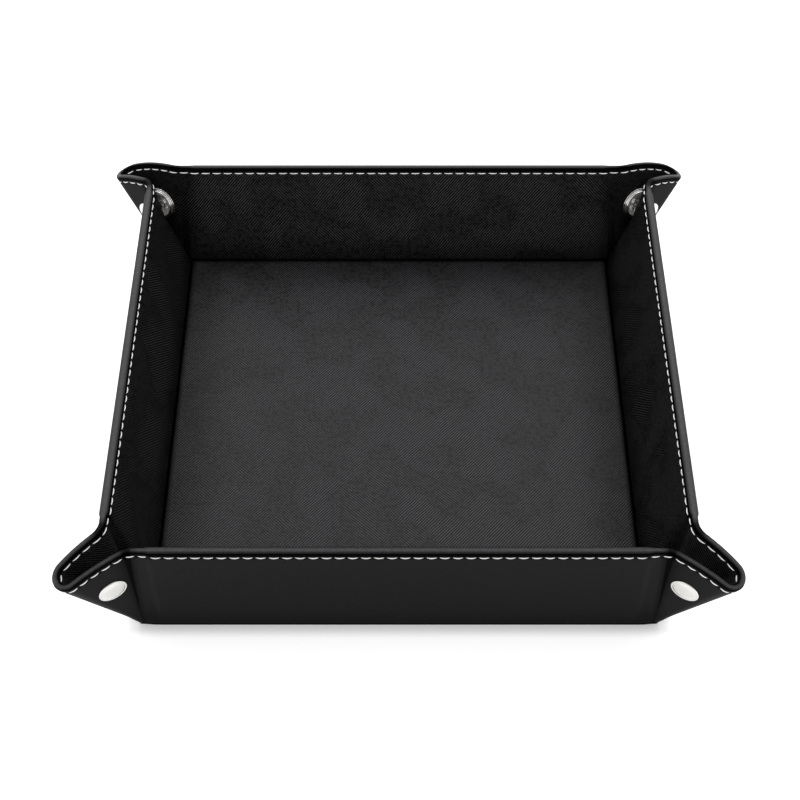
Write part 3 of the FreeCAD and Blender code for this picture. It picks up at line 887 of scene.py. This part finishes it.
for corner in corners:
    for halfName, half in halves.items():
        for side in rayRows:
            skin = raySkin(corner, halfName, "ear", side, half.earRays)
            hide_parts("%s_%s_ear_%s" % (corner, halfName, "lining" if side < 0 else "cover"))
            skin = raySkin(corner, halfName, "roll", side, half.rollRays)
            if side > 0:
                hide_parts("%s_%s_roll" % (corner, halfName))
print("corner skins made:", len(corners))

# Thread: one row of stitches on each face below the rim, all the way round
thread = dict(
    pitch=0.0043,
    length=0.0035,
    radius=0.00020,
    bedding=0.4,            # share of the radius that the thread's middle stands above its groove
    lift=0.00013,           # and how far it stands above that
    dive=0.00028,           # ends of a stitch drawn down into the leather
    smile={1: 0.00017, -1: 0.00005},    # ends of a stitch drawn towards the rim, outside and inside
    smileLevel=0.4,         # where along a stitch that curve crosses the stitch line, squared
    taper=3,                # roundness of a stitch's ends
    sides=8,
    rings=6,
    wallSteps=160,
)


def stitchLine(half, halfName, side):
    # Points from the middle of a wall to the tip, each with its normal and its piece
    outward, alongWall = walls["front" if halfName == "end" else "left"][1:]
    line = []
    for step in range(thread["wallSteps"] + 1):
        f = -step / thread["wallSteps"]
        along, out, up, reach = wallFace(half, f, side, "drop", edge["stitchDrop"])
        spot = outward * out + alongWall * along + Vector((0, 0, up))
        line.append((spot, half.wallNormal * side, "wall"))
    for part, rays in (("ear", half.earRays), ("roll", half.rollRays)):
        for ray in rays[1:]:
            position, flat = raySpot(half, ray, side, "drop", edge["stitchDrop"])
            line.append((position, ray[1] * side, part))
    return line


def spacedStitches(line):
    # Middle, direction, normal and piece of each stitch, spaced evenly along the line
    lengths = [0.0]
    for before, after in zip(line, line[1:]):
        lengths.append(lengths[-1] + (after[0] - before[0]).length)
    count = round(lengths[-1] / thread["pitch"])
    stitches, index = [], 1
    for number in range(count):
        target = (number + 0.5) * lengths[-1] / count
        while lengths[index] < target:
            index += 1
        share = (target - lengths[index - 1]) / max(1e-9, lengths[index] - lengths[index - 1])
        before, after = line[index - 1], line[index]
        normal = before[1].lerp(after[1], share).normalized()
        direction = (after[0] - before[0]).normalized()
        stitches.append((before[0].lerp(after[0], share), direction, normal, after[2]))
    return stitches


def addStitch(bm, middle, direction, normal, smile):
    made = bmesh.ops.create_uvsphere(
        bm, u_segments=thread["sides"], v_segments=thread["rings"], radius=1.0, calc_uvs=True)
    across = direction.cross(normal).normalized()
    if across.z < 0:
        across = -across
    for vert in made["verts"]:
        x, y, z = vert.co
        ring = math.hypot(x, y)
        girth = math.sqrt(max(0.0, 1 - abs(z) ** thread["taper"])) * thread["radius"]
        girth = girth / ring if ring > 1e-5 else 0.0
        rise = thread["radius"] * thread["bedding"] + thread["lift"] - thread["dive"] * z * z
        curve = smile * (z * z - thread["smileLevel"])
        spot = middle + direction * (z * thread["length"] / 2)
        vert.co = spot + across * (x * girth + curve) + normal * (y * girth + rise)


def threadPiece(name, stitches):
    bm = bmesh.new()
    bm.loops.layers.uv.new("flat")
    for stitch in stitches:
        addStitch(bm, *stitch)
    for face in bm.faces:
        face.smooth = True
    bmesh.ops.recalc_face_normals(bm, faces=bm.faces)
    return newPiece(name, meshFrom(bm, name), ["waxedThread"])


stitchRows = {}
for halfName, half in halves.items():
    for side in (-1, 1):
        for middle, direction, normal, part in spacedStitches(stitchLine(half, halfName, side)):
            for corner, signs in corners.items():
                key = (part, corner, halfName)
                if part == "wall":
                    key = (part, corner.split("_")[wallWord[halfName]])
                placed = [mirrored(vector, signs) for vector in (middle, direction, normal)]
                stitchRows.setdefault(key, []).append((*placed, thread["smile"][side]))
for key, stitches in stitchRows.items():
    piece = threadPiece(camelCase(["thread"] + "_".join(key).split("_")), stitches)
    if key[0] == "wall":
        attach(piece, key[1] + "_wall")
        continue
    part, corner, halfName = key
    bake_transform(piece)
print("stitches:", sum(len(stitches) for stitches in stitchRows.values()))

# Snaps: pressed domes for the caps and a beaded ring for the socket; profiles are radius and height
# above the middle layer of the leather
snap = dict(
    reach=0.0104,           # snap centre out from the base corner, in plan
    up=0.0313,              # and above the table
    cap=((0.0049, 0.0007), (0.0051, 0.0011), (0.00511, 0.00134), (0.00500, 0.00156), (0.00480, 0.00168),
         (0.00460, 0.00170), (0.00446, 0.00164), (0.00436, 0.00160), (0.00424, 0.00166), (0.0040, 0.00178),
         (0.0034, 0.00196), (0.0026, 0.00210), (0.0017, 0.00218), (0.0008, 0.00222), (0.0, 0.00223)),
    socket=((0.0056, -0.0008), (0.0064, -0.0009), (0.00675, -0.00102), (0.00682, -0.00122),
            (0.00668, -0.00142), (0.00630, -0.00150), (0.00590, -0.00148), (0.00568, -0.00152),
            (0.00580, -0.00170), (0.00606, -0.00182), (0.00620, -0.00208), (0.00618, -0.00240),
            (0.00598, -0.00266), (0.00560, -0.00280), (0.00500, -0.00282), (0.0044, -0.00276),
            (0.0036, -0.0026), (0.0027, -0.00255), (0.0024, -0.0024), (0.0024, -0.0016), (0.0, -0.0016)),
    steps=48,
    finish=dict(cap="snapNickel", socket="socketNickel"),
)


def spunPiece(name, profile, middle, axis, finish):
    bm = bmesh.new()
    points = [bm.verts.new((radius, 0, up)) for radius, up in profile]
    edges = [bm.edges.new(pair) for pair in zip(points, points[1:])]
    bmesh.ops.spin(bm, geom=points + edges, axis=(0, 0, 1), cent=(0, 0, 0), angle=math.tau,
                   steps=snap["steps"], use_merge=True)
    bmesh.ops.remove_doubles(bm, verts=bm.verts, dist=1e-7)
    bmesh.ops.recalc_face_normals(bm, faces=bm.faces)
    turn = Vector((0, 0, 1)).rotation_difference(axis).to_matrix().to_4x4()
    bmesh.ops.transform(bm, matrix=Matrix.Translation(middle) @ turn, verts=bm.verts)
    for face in bm.faces:
        face.smooth = True
    return newPiece(name, meshFrom(bm, name), [finish])


snapMiddle = apex + plan * snap["reach"] + Vector((0, 0, snap["up"] - sheet["hingeUp"]))
snapNodes = (("end", "cap", "end_cap"), ("side", "cap", "side_cap"), ("end", "socket", "socket"))
for corner, signs in corners.items():
    for halfName, shape, nodeName in snapNodes:
        half = halves[halfName]
        foot = snapMiddle - half.normal * (snapMiddle - apex).dot(half.normal)
        name = camelCase(corner.split("_") + [halfName, shape])
        finish = snap["finish"][shape]
        piece = spunPiece(name, snap[shape], mirrored(foot, signs), mirrored(half.normal, signs), finish)
        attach(piece, "%s_%s_ear" % (corner, halfName))
        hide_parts("%s_snap_%s" % (corner, nodeName))
print("snaps made")

# Camera, at the photograph's viewing angle
view = dict(
    elevation=math.radians(46.293),
    distance=0.71134,
    centerDrop=0.01254,
    pictureWidth=800,
    focalPixels=1886.65,
    shiftPixels=1.15,
    sensorWidth=36.0,
    clipStart=0.01,
)
forward = Vector((0, math.cos(view["elevation"]), -math.sin(view["elevation"])))
upward = Vector((0, math.sin(view["elevation"]), math.cos(view["elevation"])))
camera = bpy.data.objects.new("camera", bpy.data.cameras.new("camera"))
bpy.context.scene.collection.objects.link(camera)
camera.location = upward * view["centerDrop"] - forward * view["distance"]
camera.rotation_euler = (math.pi / 2 - view["elevation"], 0, 0)
camera.data.lens = view["focalPixels"] / view["pictureWidth"] * view["sensorWidth"]
camera.data.sensor_width = view["sensorWidth"]
camera.data.shift_x = view["shiftPixels"] / view["pictureWidth"]
camera.data.clip_start = view["clipStart"]
bpy.context.scene.camera = camera

# Pale floor and soft light
studio = dict(
    floorSize=6.0,
    floorCells=8,
    floorDrop=0.0002,       # below the underside of the tray
    floorRough=0.9,
    floorColor=(0.90, 0.90, 0.90),
    floorGlow=(0.25, 0.62),     # glow at the foot of the tray and away from it; the lower glow at the foot paints the tray's shadow
    paintedShadowRange=(0.090, 0.096),   # where that changes, from the middle of the tray
    worldBright=1.0,
    worldDim=0.6,           # behind the camera
    worldAxis=(0.0, -0.69, 0.72),
    worldRange=(0.60, 0.95),
    aim=(0.0, 0.0, 0.01),
    lamps={
        "softboxBack": dict(at=(0.0, 0.80, 1.00), size=(1.5, 1.0), power=8.0),
    },
)


def paleFloor():
    bm = bmesh.new()
    cells = studio["floorCells"]
    bmesh.ops.create_grid(bm, x_segments=cells, y_segments=cells, size=studio["floorSize"] / 2)
    mesh = meshFrom(bm, "paleFloor")
    floor = bpy.data.objects.new("paleFloor", mesh)
    bpy.context.scene.collection.objects.link(floor)
    floor.location.z = -studio["floorDrop"]
    tree, shader = newMaterial("paleFloorPaint")
    mesh.materials.append(bpy.data.materials["paleFloorPaint"])
    setInputs(shader, Base_Color=(*studio["floorColor"], 1), Roughness=studio["floorRough"],
              Specular_IOR_Level=0.0, Emission_Color=(1, 1, 1, 1))
    path = addNode(tree, "ShaderNodeLightPath")
    seen = addMath(tree, "MAXIMUM", path.outputs["Is Camera Ray"], path.outputs["Is Glossy Ray"])
    axes = addNode(tree, "ShaderNodeSeparateXYZ")
    tree.links.new(objectPlace(tree), axes.inputs["Vector"])
    sideways = addMath(tree, "ABSOLUTE", axes.outputs["X"])
    endways = addMath(tree, "ABSOLUTE", axes.outputs["Y"])
    # Painted shadow: less glow near the foot of the tray
    away = spreadRange(tree, addMath(tree, "MAXIMUM", sideways, endways), *studio["paintedShadowRange"])
    near, far = studio["floorGlow"]
    glow = addMath(tree, "MULTIPLY_ADD", away, far - near, near)
    tree.links.new(addMath(tree, "MULTIPLY", seen, glow), shader.inputs["Emission Strength"])


def softLight():
    world = bpy.data.worlds.new("studioWorld")
    bpy.context.scene.world = world
    world.use_nodes = True
    tree = world.node_tree
    sky = tree.nodes["Background"]
    sky.inputs["Color"].default_value = (1, 1, 1, 1)
    toward = addNode(tree, "ShaderNodeTexCoord")
    facing = addNode(tree, "ShaderNodeVectorMath", dict(operation="DOT_PRODUCT"))
    facing.inputs[1].default_value = studio["worldAxis"]
    tree.links.new(toward.outputs["Generated"], facing.inputs[0])
    share = spreadRange(tree, facing.outputs["Value"], *studio["worldRange"])
    spread = studio["worldDim"] - studio["worldBright"]
    strength = addMath(tree, "MULTIPLY_ADD", share, spread, studio["worldBright"])
    tree.links.new(strength, sky.inputs["Strength"])
    for name, lamp in studio["lamps"].items():
        light = bpy.data.lights.new(name, "AREA")
        light.shape = "RECTANGLE"
        light.size, light.size_y = lamp["size"]
        light.energy = lamp["power"]
        softbox = bpy.data.objects.new(name, light)
        bpy.context.scene.collection.objects.link(softbox)
        softbox.location = lamp["at"]
        aim = Vector(studio["aim"]) - Vector(lamp["at"])
        softbox.rotation_euler = aim.to_track_quat("-Z", "Y").to_euler()


paleFloor()
softLight()
bpy.context.scene.view_settings.view_transform = "Standard"
print("camera, floor and light set")
